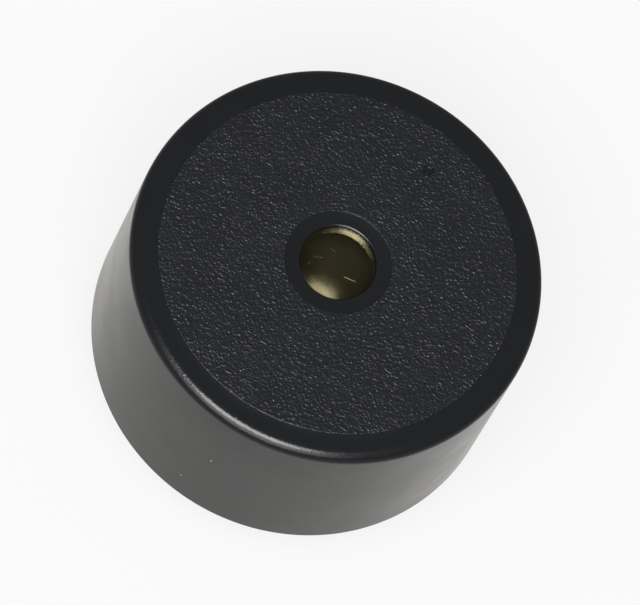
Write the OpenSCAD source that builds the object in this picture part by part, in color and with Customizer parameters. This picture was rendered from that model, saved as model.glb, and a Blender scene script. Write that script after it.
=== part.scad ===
// Round piezo siren for mounting on a circuit board: a moulded cup with a sound hole, a brass sounder disc
// glued to a ring-shaped rib inside it, a driver board behind the disc, and two pins through a resin seal.
// Millimetres. The origin is the centre of the seating plane, and +Z runs up through the sound hole.

/* [Case] */
// Outside diameter of the case
case_d = 22.5; // [21.5:0.25:26]
// Height of the case above its seating plane
case_h = 12; // [11.5:0.25:15]
// Thickness of the side wall around the sounder disc
side_wall = 1.1; // [1:0.05:1.3]
// Thickness of the front wall at the sound hole
front_wall = 1; // [0.8:0.05:1.3]
// Rounding between the front and the side
edge_r = 0.75; // [0.3:0.05:0.95]
// Small rounding round the bottom rim
foot_r = 0.15; // [0.05:0.05:0.3]
// Rounding of the inside corner behind the front wall
inner_r = 0.3; // [0.1:0.05:0.4]

/* [Front face] */
// Width of the smooth rim outside the textured field
rim_w = 1.45; // [1:0.05:2]
// Height of the textured field above the smooth rim
face_step = 0.05; // [0.03:0.01:0.1]
// Diameter of the sound hole
hole_d = 4.15; // [3:0.05:5]
// Rounding of the sound hole's front edge
hole_edge_r = 0.15; // [0.05:0.05:0.3]
// Width of the smooth land around the sound hole
land_w = 0.85; // [0.5:0.05:1.5]
// Diameter of the gate dimple
dimple_d = 0.6; // [0.4:0.05:1]
// Depth of the gate dimple
dimple_h = 0.15; // [0.1:0.01:0.3]
// Distance of the gate dimple from the axis
dimple_r = 7.5; // [5:0.1:8]
// Direction of the gate dimple, counted from +X
dimple_turn = 76; // [0:1:359]

/* [Sound chamber] */
// Height of the nodal rib, which sets the chamber's depth
rib_h = 3.5; // [2.9:0.1:3.7]
// Middle diameter of the nodal rib
rib_d = 13; // [11.5:0.1:14]
// Width of the rib at its tip
rib_tip = 0.6; // [0.4:0.05:0.8]
// Width of the rib at its root
rib_root = 1.1; // [0.9:0.05:1.4]
// Thickness of the adhesive between the rib and the disc
glue_t = 0.15; // [0.1:0.01:0.25]
// How far the adhesive spreads past the rib's tip on each side
glue_spread = 0.35; // [0.2:0.05:0.5]

/* [Sounder disc] */
// Free gap between the disc's edge and the side wall
disc_gap = 0.25; // [0.15:0.05:0.5]
// Thickness of the brass
disc_t = 0.15; // [0.1:0.01:0.25]
// Diameter of the ceramic
ceramic_d = 14; // [12:0.25:15]
// Thickness of the ceramic
ceramic_t = 0.13; // [0.1:0.01:0.25]
// Bare margin between the silver and the ceramic's edge
silver_margin = 0.4; // [0.2:0.05:0.8]
// Thickness of the silver
silver_t = 0.05; // [0.03:0.01:0.08]
// Width of the feedback tongue
tongue_w = 3; // [2.4:0.1:3.4]
// Length of the feedback tongue, from the silver's edge inwards
tongue_l = 4.6; // [4:0.1:5]
// Bare gap around the feedback tongue
tongue_gap = 0.4; // [0.2:0.05:0.6]

/* [Leads from the disc] */
// Diameter of a lead over its insulation
lead_d = 0.6; // [0.4:0.05:0.7]
// Diameter of the bare strand
strand_d = 0.25; // [0.15:0.01:0.3]
// Bend radius of a lead at its middle line
bend_r = 0.9; // [0.6:0.05:1.1]
// Gap between a lead's insulation and the disc
lead_gap = 0.15; // [0.1:0.01:0.25]
// Length of bare strand at each end
strip_l = 0.9; // [0.85:0.05:1.1]
// Base diameter of a solder dome
dome_d = 1.6; // [1.4:0.05:1.8]
// Height of a solder dome
dome_h = 0.75; // [0.7:0.05:0.78]

/* [Circuit board] */
// Thickness of the board
board_t = 1; // [0.8:0.1:1.2]
// Height of the board's underside above the seating plane
board_z = 1.4; // [1.3:0.05:1.6]
// Depth of the rebate that holds the board, cut into the side wall
rebate = 0.35; // [0.25:0.05:0.45]
// Gap between the board's edge and the rebate
board_gap = 0.1; // [0.05:0.01:0.2]
// Thickness of the copper
copper_t = 0.05; // [0.03:0.01:0.08]
// Width of a track
track_w = 0.4; // [0.25:0.05:0.5]
// Distance from the side wall to the middle of a lead's pad
pad_in = 1.95; // [1.7:0.05:2.2]
// Distance from the side wall to the middle of the track that follows the edge
edge_in = 0.4; // [0.3:0.05:0.5]

/* [Pins] */
// Distance between the two pins
pin_pitch = 15; // [14:0.1:15.5]
// Diameter of a pin
pin_d = 0.8; // [0.6:0.05:1]
// Length of a pin below the seating plane
pin_out = 5; // [3:0.25:7]
// Width of a pin's squared shank, above the seating plane
shank_w = 0.7; // [0.6:0.05:0.8]
// Diameter of a pin's head
head_d = 1.6; // [1.4:0.05:2]
// Thickness of a pin's head
head_t = 0.35; // [0.2:0.05:0.6]
// Clearance of a pin or coil lead in its hole, on the radius
pin_play = 0.05; // [0.03:0.01:0.1]
// Diameter of the copper ring around a pin
ring_d = 2.5; // [2.3:0.05:2.8]
// Height of a solder cone under the board
cone_h = 0.7; // [0.5:0.05:0.75]

/* [Seal] */
// Depth of the seal's face above the seating plane
seal_in = 0.45; // [0.4:0.05:0.5]
// Height of the raised edge where the resin wets the wall
meniscus = 0.25; // [0.1:0.05:0.3]

/* [Step-up coil] */
// Diameter of the ferrite drum
coil_d = 5.2; // [4.6:0.1:5.6]
// Height of the ferrite drum
coil_h = 3.2; // [2.6:0.1:3.3]
// Thickness of a drum flange
flange_t = 0.55; // [0.4:0.05:0.7]
// Diameter of the drum's core
core_d = 2; // [1.6:0.1:2]
// How far the winding stays inside the flanges
wind_in = 0.15; // [0.1:0.05:0.3]
// Diameter of the winding wire
wire_d = 0.21; // [0.15:0.01:0.3]
// Distance between the coil's two leads
coil_pitch = 3; // [2.8:0.1:3.2]
// Diameter of a coil lead
coil_lead_d = 0.5; // [0.4:0.05:0.6]

/* [Chip parts] */
// Length of a chip resistor
res_l = 2; // [1.8:0.05:2.2]
// Width of a chip resistor
res_w = 1.25; // [1.1:0.05:1.4]
// Height of a chip resistor
res_h = 0.5; // [0.4:0.05:0.7]
// Length of the chip capacitor
cap_l = 3.2; // [3:0.05:3.4]
// Width of the chip capacitor
cap_w = 1.6; // [1.4:0.05:1.8]
// Height of the chip capacitor
cap_h = 1.1; // [0.8:0.05:1.5]
// Length of an end cap
endcap_l = 0.4; // [0.3:0.05:0.5]
// Thickness of an end cap's metal
endcap_t = 0.05; // [0.03:0.01:0.08]
// Length of the transistor's body
trans_l = 2.9; // [2.7:0.05:3.1]
// Width of the transistor's body
trans_w = 1.3; // [1.2:0.05:1.5]
// Height of the transistor above its pads
trans_h = 1; // [0.9:0.05:1.2]
// Spacing between the transistor's paired leads
trans_pitch = 1.9; // [1.7:0.05:2]
// Length of the diode's body
diode_l = 2.7; // [2.5:0.05:2.9]
// Width of the diode's body
diode_w = 1.6; // [1.4:0.05:1.8]
// Height of the diode above its pads
diode_h = 1.1; // [0.9:0.05:1.3]
// Gap under a moulded body
standoff = 0.08; // [0.05:0.01:0.12]
// Inward slope of a moulded body's faces, as a width
draft_w = 0.1; // [0.05:0.01:0.15]
// Thickness of a formed metal leg
leg_t = 0.12; // [0.1:0.01:0.15]
// Width of a formed metal leg
leg_w = 0.42; // [0.35:0.01:0.5]
// Reach of a leg's foot beyond its bend
foot_l = 0.35; // [0.3:0.05:0.4]
// Distance from a moulded body to the bend of a leg
knee_l = 0.25; // [0.2:0.01:0.3]
// Length of a solder fillet in front of a chip's end or a leg
fillet_l = 0.3; // [0.2:0.05:0.35]
// How far a pad reaches past its solder fillet and past the sides of what stands on it
pad_margin = 0.1; // [0.05:0.01:0.15]

/* [Hidden] */
$fn = 96;

// Radii of the case, from the outside in
case_r = case_d / 2;
bore_r = case_r - side_wall;
rebate_r = bore_r + rebate;
face_r = case_r - rim_w;
hole_r = hole_d / 2;
land_r = hole_r + land_w;
rib_r = rib_d / 2;
disc_r = bore_r - disc_gap;
board_r = rebate_r - board_gap;

// Heights of the stack, from the front down
rim_z = case_h - face_step;
under_z = rim_z - front_wall;
rib_z = under_z - rib_h;
disc_z = rib_z - glue_t;
ceramic_z = disc_z - disc_t;
silver_z = ceramic_z - ceramic_t;
joint_z = silver_z - silver_t;

// Heights of the board, from the seating plane up
board_top = board_z + board_t;
mount_z = board_top + copper_t;

// Silver on the ceramic
silver_r = ceramic_d / 2 - silver_margin;
tongue_x = -silver_r + tongue_l - tongue_w / 2;

// A place at a distance from the side wall, in a direction counted from +X
function from_wall(gap, turn) = (bore_r - gap) * [cos(turn), sin(turn)];

// Where each lead starts on the board and ends on the disc
drive_from = from_wall(pad_in, 42);
drive_to = [3.6, 2.2];
feedback_from = from_wall(pad_in, 146);
feedback_to = [tongue_x - 0.4, 0];
ground_from = from_wall(pad_in, 116);
ground_to = [0.6, (ceramic_d / 2 + disc_r) / 2];

// Places of the parts on the board
pin_x = pin_pitch / 2;
shank_d = shank_w * sqrt(2);
coil_at = [0, -4.9];
trans_at = [-5.1, -3.3];
diode_at = [5.3, -3.2];
base_at = [-4.4, 1.7];
feed_at = [-1.9, 3.9];
bleed_at = [0, 0.6];
cap_at = [3.9, 2.2];

// Stretch of a gull-wing leg from the body to the end of its foot
leg_reach = knee_l + foot_l;

// Small overlap that makes a cut run clear of a face
eps = 0.01;

// ---- Helpers --------------------------------------------------------------------------------------------

// The waste outside a quarter-round of radius r, with the arc's centre at the origin
module round_waste(r) {
    difference() {
        square([r + eps, r + eps]);
        circle(r);
    }
}

// A spherical dome standing on z = 0
module dome(d, h) {
    ball_r = (d * d / 4 + h * h) / (2 * h);
    rotate_extrude()
        intersection() {
            translate([0, h - ball_r]) circle(ball_r);
            square([d, h + eps]);
        }
}

// Puts its children on the top copper at a place, turned about Z
module on_board(at, turn = 0) {
    translate([at[0], at[1], mount_z]) rotate(turn) children();
}

// Puts its children at both ends of a part of length l, facing outwards along X
module at_ends(l) {
    for (side = [0, 180]) rotate(side) translate([l / 2, 0, 0]) children();
}

// A block centred on X and Y that stands on z = 0
module block(x, y, z) {
    translate([-x / 2, -y / 2, 0]) cube([x, y, z]);
}

// ---- Case -----------------------------------------------------------------------------------------------

// Cross-section of the nodal rib, hanging from the front wall
module rib_section() {
    polygon([
        [rib_r - rib_root / 2, under_z + eps],
        [rib_r + rib_root / 2, under_z + eps],
        [rib_r + rib_tip / 2, rib_z],
        [rib_r - rib_tip / 2, rib_z]
    ]);
}

// Cross-section of the hollow inside the case, from the seating plane to the front wall
module hollow_section() {
    difference() {
        union() {
            translate([0, -eps]) square([bore_r, under_z + eps]);
            translate([0, -eps]) square([rebate_r, board_top + eps]);
        }
        translate([bore_r - inner_r, under_z - inner_r]) round_waste(inner_r);
        rib_section();
    }
}

// Cross-section of the moulded cup
module case_section() {
    difference() {
        union() {
            square([case_r, rim_z]);
            translate([land_r, 0]) square([face_r - land_r, case_h]);
        }
        translate([case_r - edge_r, rim_z - edge_r]) round_waste(edge_r);
        translate([case_r - foot_r, foot_r]) mirror([0, 1]) round_waste(foot_r);
        translate([-eps, 0]) square([hole_r + eps, case_h]);
        translate([hole_r + hole_edge_r, rim_z - hole_edge_r]) mirror([1, 0]) round_waste(hole_edge_r);
        hollow_section();
    }
}

// Recess left round the moulding gate, with the gate's short stub standing in it
module gate_dimple() {
    rotate(dimple_turn) translate([dimple_r, 0, case_h - dimple_h])
        difference() {
            cylinder(d = dimple_d, h = dimple_h + eps);
            cylinder(d = dimple_d * 0.4, h = dimple_h / 2);
        }
}

module housing() {
    color("#2b2d31")
        difference() {
            rotate_extrude() case_section();
            gate_dimple();
        }
}

// ---- Sounder disc ---------------------------------------------------------------------------------------

// Silicone bead that holds the disc to the rib's tip
module rib_adhesive() {
    bead_r = rib_tip / 2 + glue_spread;
    color("#d9d6cc")
        rotate_extrude()
            difference() {
                translate([rib_r, disc_z])
                    intersection() {
                        circle(bead_r);
                        translate([-bead_r, 0]) square([2 * bead_r, bead_r]);
                    }
                rib_section();
            }
}

module diaphragm() {
    color("#c8a84b") translate([0, 0, ceramic_z]) cylinder(r = disc_r, h = disc_t);
}

module piezo_ceramic() {
    color("#e8e0c8") translate([0, 0, silver_z]) cylinder(d = ceramic_d, h = ceramic_t);
}

// Outline of the feedback tongue, grown by a gap on every side
module tongue_outline(gap = 0) {
    translate([tongue_x, 0]) circle(tongue_w / 2 + gap);
    translate([-silver_r - gap - 1, -tongue_w / 2 - gap])
        square([tongue_x + silver_r + gap + 1, tongue_w + 2 * gap]);
}

module drive_electrode() {
    color("#d5d8dc") translate([0, 0, joint_z])
        linear_extrude(silver_t)
            difference() {
                circle(silver_r);
                tongue_outline(tongue_gap);
            }
}

module feedback_electrode() {
    color("#d5d8dc") translate([0, 0, joint_z])
        linear_extrude(silver_t)
            intersection() {
                circle(silver_r);
                tongue_outline();
            }
}

// ---- Leads ----------------------------------------------------------------------------------------------

// A lead that rises from the board, bends over and runs along under the disc.
// top_z is the face that it is soldered to.
module lead(from, to, top_z) {
    run = norm(to - from);
    turn = atan2(to[1] - from[1], to[0] - from[0]);
    mid_z = top_z - lead_gap - lead_d / 2;
    bend_z = mid_z - bend_r;
    sleeve_z = mount_z + strip_l;
    translate([from[0], from[1], 0]) rotate(turn) {
        translate([0, 0, mount_z]) cylinder(d = strand_d, h = strip_l);
        translate([0, 0, sleeve_z]) cylinder(d = lead_d, h = bend_z - sleeve_z);
        translate([bend_r, 0, bend_z]) mirror([1, 0, 0]) rotate([90, 0, 0])
            rotate_extrude(angle = 90) translate([bend_r, 0]) circle(d = lead_d);
        translate([0, 0, mid_z]) rotate([0, 90, 0]) {
            translate([0, 0, bend_r]) cylinder(d = lead_d, h = run - bend_r - strip_l);
            translate([0, 0, run - strip_l]) cylinder(d = strand_d, h = strip_l + strand_d);
        }
    }
}

module drive_lead() {
    color("#b3261e") lead(drive_from, drive_to, joint_z);
}

module feedback_lead() {
    color("#2f5fb3") lead(feedback_from, feedback_to, joint_z);
}

module ground_lead() {
    color("#1c1c1e") lead(ground_from, ground_to, ceramic_z);
}

// Solder domes where the leads meet the disc
module disc_solder() {
    color("#b9bcc0")
        difference() {
            union() {
                translate([drive_to[0], drive_to[1], joint_z]) mirror([0, 0, 1]) dome(dome_d, dome_h);
                translate([feedback_to[0], feedback_to[1], joint_z]) mirror([0, 0, 1]) dome(dome_d, dome_h);
                translate([ground_to[0], ground_to[1], ceramic_z]) mirror([0, 0, 1]) dome(dome_d, dome_h);
            }
            drive_lead();
            feedback_lead();
            ground_lead();
        }
}

// ---- Circuit board --------------------------------------------------------------------------------------

// Places of everything that passes through the board, each with its diameter
holes = [
    [[-pin_x, 0], shank_d],
    [[pin_x, 0], shank_d],
    [coil_at - [coil_pitch / 2, 0], coil_lead_d],
    [coil_at + [coil_pitch / 2, 0], coil_lead_d]
];

module hole_outlines() {
    for (hole = holes) translate(hole[0]) circle(d = hole[1] + 2 * pin_play);
}

module circuit_board() {
    color("#b08d4f") translate([0, 0, board_z])
        linear_extrude(board_t)
            difference() {
                circle(board_r);
                hole_outlines();
            }
}

// Width of the copper ring around a wire of diameter d
function ring_width(d) = d + ring_d - shank_d;

module ring_outlines() {
    for (hole = holes) translate(hole[0]) circle(d = ring_width(hole[1]));
}

// Pad under one end of a part: from its inner edge to past its solder, w wide over what stands on it
module end_pad(inner, w) {
    translate([-inner, -w / 2 - pad_margin]) square([inner + fillet_l + pad_margin, w + 2 * pad_margin]);
}

module chip_pads(at, turn, l, w) {
    translate(at) rotate(turn)
        for (side = [0, 180]) rotate(side) translate([l / 2, 0]) end_pad(endcap_l, w);
}

// A track through a list of points. Its round corners are a hair wider than the track, so that they cross
// its edges cleanly.
module track(points) {
    for (i = [0 : len(points) - 2]) {
        step = points[i + 1] - points[i];
        translate(points[i]) rotate(atan2(step[1], step[0]))
            translate([0, -track_w / 2]) square([norm(step), track_w]);
        translate(points[i + 1]) circle(d = track_w + 2 * eps);
    }
}

// Ends of the parts that the tracks join
negative_at = [-pin_x, 0];
positive_at = [pin_x, 0];
coil_start = coil_at - [coil_pitch / 2, 0];
coil_end = coil_at + [coil_pitch / 2, 0];
trans_out = trans_w / 2 + leg_reach;
collector = trans_at - [0, trans_out];
base_leg = trans_at + [trans_pitch / 2, trans_out];
emitter_leg = trans_at + [-trans_pitch / 2, trans_out];
diode_out = diode_l / 2 + leg_reach;
anode = diode_at + [diode_out, 0];
cathode = diode_at - [diode_out, 0];
chip_end = [res_l / 2, 0];
cap_end = [cap_l / 2, 0];

// Corners of the tracks
drive_x = cap_at[0];
drive_y = -1.4;
return_in = 1.9;
edge_route = [for (turn = [164, 149, 135]) from_wall(edge_in, turn)];

// Supply: positive pin, capacitor and diode, then the coil
module supply_tracks() {
    track([positive_at, [pin_x, cap_at[1]], cap_at + cap_end]);
    track([positive_at, [pin_x, diode_at[1]], anode]);
    track([cathode, coil_end]);
}

// Drive: coil, collector, bleed and feedback resistors, then the lead to the wide silver
module drive_tracks() {
    track([collector, coil_start]);
    track([coil_start, [coil_start[0], drive_y], [drive_x, drive_y], [drive_x, feed_at[1]], drive_from]);
    track([[drive_x, bleed_at[1]], bleed_at + chip_end]);
    track([[drive_x, feed_at[1]], feed_at + chip_end]);
}

// Feedback: lead from the tongue, feedback and base resistors, then the base
module feedback_tracks() {
    track([feedback_from, [base_at[0], feedback_from[1]], feed_at - chip_end]);
    track([[base_at[0], feedback_from[1]], [base_at[0], base_at[1] + res_l / 2]]);
    track([[base_at[0], base_at[1] - res_l / 2], base_leg]);
}

// Return: negative pin, emitter, bleed resistor, capacitor and the lead to the brass
module return_tracks() {
    track([negative_at, [-pin_x, emitter_leg[1]], emitter_leg]);
    track([negative_at, [-pin_x + return_in, base_at[1]], [-return_in, base_at[1]], cap_at - cap_end]);
    track([[-return_in, base_at[1]], bleed_at - chip_end]);
    track(concat([negative_at], edge_route, [ground_from]));
}

// Pads under the chip parts, the diode and the transistor
module part_pads() {
    chip_pads(base_at, 90, res_l, res_w);
    chip_pads(feed_at, 0, res_l, res_w);
    chip_pads(bleed_at, 0, res_l, res_w);
    chip_pads(cap_at, 0, cap_l, cap_w);
    translate(diode_at)
        for (side = [0, 180])
            rotate(side) translate([diode_out, 0]) end_pad(foot_l, leg_w);
    translate(trans_at)
        trans_leg_places() translate([leg_reach, 0]) end_pad(foot_l, leg_w);
}

// Round pads that the leads from the disc are soldered to
module lead_pads() {
    for (place = [drive_from, feedback_from, ground_from])
        translate(place) circle(d = dome_d + 2 * pad_margin);
}

module board_copper() {
    color("#c77a3c") {
        translate([0, 0, board_top])
            linear_extrude(copper_t)
                difference() {
                    union() {
                        ring_outlines();
                        lead_pads();
                        part_pads();
                        supply_tracks();
                        drive_tracks();
                        feedback_tracks();
                        return_tracks();
                    }
                    hole_outlines();
                }
        translate([0, 0, board_z - copper_t])
            linear_extrude(copper_t)
                difference() {
                    ring_outlines();
                    hole_outlines();
                }
    }
}

// A wedge of solder on the top copper, in front of a vertical metal face at x = 0
module toe_fillet(w, h) {
    translate([0, w / 2, 0]) rotate([90, 0, 0])
        linear_extrude(w) polygon([[0, 0], [fillet_l, 0], [0, h]]);
}

module chip_fillets(at, turn, l, w, h) {
    on_board(at, turn) at_ends(l) toe_fillet(w, h / 2);
}

module board_solder() {
    color("#b9bcc0") {
        difference() {
            for (place = [drive_from, feedback_from, ground_from])
                on_board(place) dome(dome_d, dome_h);
            drive_lead();
            feedback_lead();
            ground_lead();
        }
        chip_fillets(base_at, 90, res_l, res_w, res_h);
        chip_fillets(feed_at, 0, res_l, res_w, res_h);
        chip_fillets(bleed_at, 0, res_l, res_w, res_h);
        chip_fillets(cap_at, 0, cap_l, cap_w, cap_h);
        on_board(diode_at) at_ends(diode_l + 2 * leg_reach) toe_fillet(leg_w, leg_t);
        on_board(trans_at) trans_leg_places() translate([leg_reach, 0, 0]) toe_fillet(leg_w, leg_t);
    }
}

// ---- Pins and seal --------------------------------------------------------------------------------------

// A round pin with a rounded tip, a squared shank in the resin and the board, and a head on the top copper
module pin(x) {
    tip_r = pin_d / 4;
    translate([x, 0, 0]) {
        rotate_extrude()
            difference() {
                translate([0, -pin_out]) square([pin_d / 2, pin_out]);
                translate([pin_d / 2 - tip_r, tip_r - pin_out]) mirror([0, 1]) round_waste(tip_r);
            }
        block(shank_w, shank_w, mount_z);
        translate([0, 0, mount_z]) cylinder(d = head_d, h = head_t);
    }
}

module positive_pin() {
    color("#c9ccd1") pin(pin_x);
}

module negative_pin() {
    color("#c9ccd1") pin(-pin_x);
}

// A concave cone of solder for a hole of diameter d, hanging from the board's lower copper
module solder_cone(d) {
    foot = (ring_width(d) - d) / 2 - pad_margin;
    rotate_extrude()
        translate([0, board_z - copper_t - cone_h])
            difference() {
                square([d / 2 + foot, cone_h]);
                translate([d / 2 + foot, 0]) cone_hollow(foot, cone_h);
            }
}

// The arc that hollows a solder cone's side
module cone_hollow(w, h) {
    arc_r = (w * w + h * h) / (2 * w);
    translate([arc_r - w, 0]) circle(arc_r);
}

module pin_solder() {
    color("#b9bcc0")
        difference() {
            for (hole = holes) translate(hole[0]) solder_cone(hole[1] + 2 * pin_play);
            positive_pin();
            negative_pin();
            coil_leads();
        }
}

// Cast resin between the board and the open bottom, wetting up the wall
module seal() {
    color("#3a3a38")
        difference() {
            rotate_extrude()
                difference() {
                    translate([0, seal_in - meniscus]) square([rebate_r, board_z - seal_in + meniscus]);
                    translate([0, seal_in - meniscus - eps]) square([rebate_r - meniscus, meniscus + eps]);
                    translate([rebate_r - meniscus, seal_in - meniscus]) circle(meniscus);
                }
            translate([0, 0, board_z - copper_t]) linear_extrude(copper_t + eps) ring_outlines();
            positive_pin();
            negative_pin();
            pin_solder();
            coil_leads();
        }
}

// ---- Step-up coil ---------------------------------------------------------------------------------------

module coil_core() {
    color("#4a4640") on_board(coil_at)
        difference() {
            rotate_extrude()
                difference() {
                    square([coil_d / 2, coil_h]);
                    translate([core_d / 2, flange_t]) square([coil_d, coil_h - 2 * flange_t]);
                }
            for (side = [-1, 1])
                translate([side * coil_pitch / 2, 0, -eps])
                    cylinder(d = coil_lead_d, h = flange_t + 2 * eps);
        }
}

// Winding between the flanges, with its outer turns standing out as round wires
module coil_winding() {
    window = coil_h - 2 * flange_t;
    turns = round(window / wire_d);
    pitch = window / turns;
    wind_r = coil_d / 2 - wind_in - pitch / 2;
    color("#b5652a") on_board(coil_at) translate([0, 0, flange_t])
        rotate_extrude() {
            translate([core_d / 2, 0]) square([wind_r - core_d / 2, window]);
            for (i = [0 : turns - 1]) translate([wind_r, (i + 0.5) * pitch]) circle(d = pitch);
        }
}

module coil_leads() {
    low_z = board_z - copper_t - cone_h;
    color("#c9ccd1")
        for (side = [-1, 1])
            translate([coil_at[0] + side * coil_pitch / 2, coil_at[1], low_z])
                cylinder(d = coil_lead_d, h = mount_z + flange_t - low_z);
}

// ---- Moulded semiconductors -----------------------------------------------------------------------------

// Moulded body of length l along X and width w, with its legs leaving at half its height
module moulded_body(l, w, h) {
    mid = h / 2;
    side = w / 2;
    rotate([90, 0, 90])
        translate([0, 0, -l / 2]) linear_extrude(l)
            polygon([
                [draft_w - side, standoff], [side - draft_w, standoff],
                [side, mid - leg_t / 2], [side, mid + leg_t / 2],
                [side - draft_w, h], [draft_w - side, h],
                [-side, mid + leg_t / 2], [-side, mid - leg_t / 2]
            ]);
}

// A gull-wing leg that leaves a body at x = 0 and stands on z = 0
module leg(h) {
    arm_z = h / 2 - leg_t / 2;
    translate([0, leg_w / 2, 0]) rotate([90, 0, 0])
        linear_extrude(leg_w) {
            translate([0, arm_z]) square([knee_l, leg_t]);
            translate([knee_l - leg_t, 0]) square([leg_t, arm_z + leg_t]);
            translate([knee_l - leg_t, 0]) square([foot_l + leg_t, leg_t]);
        }
}

// Puts its children at the transistor's three legs, facing outwards along X
module trans_leg_places() {
    rotate(-90) translate([trans_w / 2, 0]) children();
    for (side = [-1, 1])
        translate([side * trans_pitch / 2, 0]) rotate(90) translate([trans_w / 2, 0]) children();
}

module transistor_body() {
    color("#1f1f21") on_board(trans_at) moulded_body(trans_l, trans_w, trans_h);
}

module transistor_leads() {
    color("#c9ccd1") on_board(trans_at) trans_leg_places() leg(trans_h);
}

module diode_body() {
    color("#1f1f21") on_board(diode_at, 90) moulded_body(diode_w, diode_l, diode_h);
}

module diode_leads() {
    color("#c9ccd1") on_board(diode_at) at_ends(diode_l) leg(diode_h);
}

// ---- Chip parts -----------------------------------------------------------------------------------------

// The ceramic block of a chip part, held clear of its pads by its end caps
module chip_body(l, w, h) {
    translate([0, 0, endcap_t]) block(l - 2 * endcap_t, w, h - 2 * endcap_t);
}

// The two metal caps that wrap the ends of a chip part
module chip_caps(l, w, h) {
    difference() {
        at_ends(l - endcap_l) block(endcap_l, w, h);
        translate([0, 0, endcap_t]) block(l - 2 * endcap_t, w + 2 * eps, h - 2 * endcap_t);
    }
}

module base_resistor() {
    color("#26282b") on_board(base_at, 90) chip_body(res_l, res_w, res_h);
}

module feedback_resistor() {
    color("#26282b") on_board(feed_at) chip_body(res_l, res_w, res_h);
}

module bleed_resistor() {
    color("#26282b") on_board(bleed_at) chip_body(res_l, res_w, res_h);
}

module resistor_caps() {
    color("#c9ccd1") {
        on_board(base_at, 90) chip_caps(res_l, res_w, res_h);
        on_board(feed_at) chip_caps(res_l, res_w, res_h);
        on_board(bleed_at) chip_caps(res_l, res_w, res_h);
    }
}

module supply_capacitor() {
    color("#a9835a") on_board(cap_at) chip_body(cap_l, cap_w, cap_h);
}

module capacitor_caps() {
    color("#c9ccd1") on_board(cap_at) chip_caps(cap_l, cap_w, cap_h);
}

housing();
rib_adhesive();
diaphragm();
piezo_ceramic();
drive_electrode();
feedback_electrode();
disc_solder();
drive_lead();
feedback_lead();
ground_lead();
circuit_board();
board_copper();
board_solder();
positive_pin();
negative_pin();
pin_solder();
coil_core();
coil_winding();
coil_leads();
transistor_body();
transistor_leads();
diode_body();
diode_leads();
base_resistor();
feedback_resistor();
bleed_resistor();
resistor_caps();
supply_capacitor();
capacitor_caps();
seal();
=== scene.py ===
"""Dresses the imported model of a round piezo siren: case, sounder disc, driver board, pins and resin seal.

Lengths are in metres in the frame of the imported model. The origin is the centre of the seating plane,
+Z runs up through the sound hole, and the two pins stand on the X axis.
"""
import logging
import math
from dataclasses import dataclass, field
from enum import Enum

import bmesh
import bpy
from mathutils import Matrix, Vector


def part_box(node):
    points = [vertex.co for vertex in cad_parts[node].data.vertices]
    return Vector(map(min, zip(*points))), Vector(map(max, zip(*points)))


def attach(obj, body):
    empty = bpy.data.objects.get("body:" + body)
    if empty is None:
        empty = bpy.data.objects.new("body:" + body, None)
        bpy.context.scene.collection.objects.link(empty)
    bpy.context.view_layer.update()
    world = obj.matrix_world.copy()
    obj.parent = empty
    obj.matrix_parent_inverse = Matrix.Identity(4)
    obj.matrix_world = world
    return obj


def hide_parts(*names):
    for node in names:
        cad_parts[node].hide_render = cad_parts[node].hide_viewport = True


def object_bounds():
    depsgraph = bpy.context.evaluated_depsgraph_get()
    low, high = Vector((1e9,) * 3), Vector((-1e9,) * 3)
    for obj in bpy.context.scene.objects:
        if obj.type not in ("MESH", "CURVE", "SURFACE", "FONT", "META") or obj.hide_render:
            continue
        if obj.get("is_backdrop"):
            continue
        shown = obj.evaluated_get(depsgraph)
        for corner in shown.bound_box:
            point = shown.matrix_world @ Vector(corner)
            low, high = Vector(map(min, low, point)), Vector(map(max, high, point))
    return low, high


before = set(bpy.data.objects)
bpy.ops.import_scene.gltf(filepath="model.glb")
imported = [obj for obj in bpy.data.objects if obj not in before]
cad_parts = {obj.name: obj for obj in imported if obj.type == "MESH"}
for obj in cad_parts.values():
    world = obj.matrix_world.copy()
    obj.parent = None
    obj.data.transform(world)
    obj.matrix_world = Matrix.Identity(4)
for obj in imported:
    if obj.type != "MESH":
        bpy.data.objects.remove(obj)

MM = 0.001
TURN = 2.0 * math.pi
# Angle between two faces past which their edge is drawn sharp.
SHARP = math.radians(32)
# How far a large face outweighs a small one in the shading, at most 100.
FLAT_WEIGHT = 100
# Distances within which a point lies on a level, and two points are one.
TOUCH = 1e-6
MERGE = 1e-7
LOG = logging.getLogger("siren")

# Sockets of a Mix node that mixes colours.
MIX_FACTOR, MIX_A, MIX_B, MIX_RESULT = 0, 6, 7, 2

# Stretches of a noise value, from none to all of an effect.
CLOUD_SPAN = (0.35, 0.65)
PATCH_SPAN = (0.3, 0.7)
STREAK_SPAN = (0.66, 0.74)

# Scale of the grain's coarse unevenness, as a share of the fine grain's.
PATCH_SCALE = 0.14
# Direction in radians and narrowness of each family of scratches.
STREAKS = ((0.0, 14.0), (1.1, 22.0))
# Roughness that a family's scratch adds to a plain finish.
SCRATCH_HAZE = 0.25
# Share of a single scratch's half length over which it keeps its full strength.
SCRATCH_CORE = 0.4

Colour = tuple[float, float, float]
WHITE: Colour = (1.0, 1.0, 1.0)


# ---- Node helpers ---------------------------------------------------------------------------------------


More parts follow.
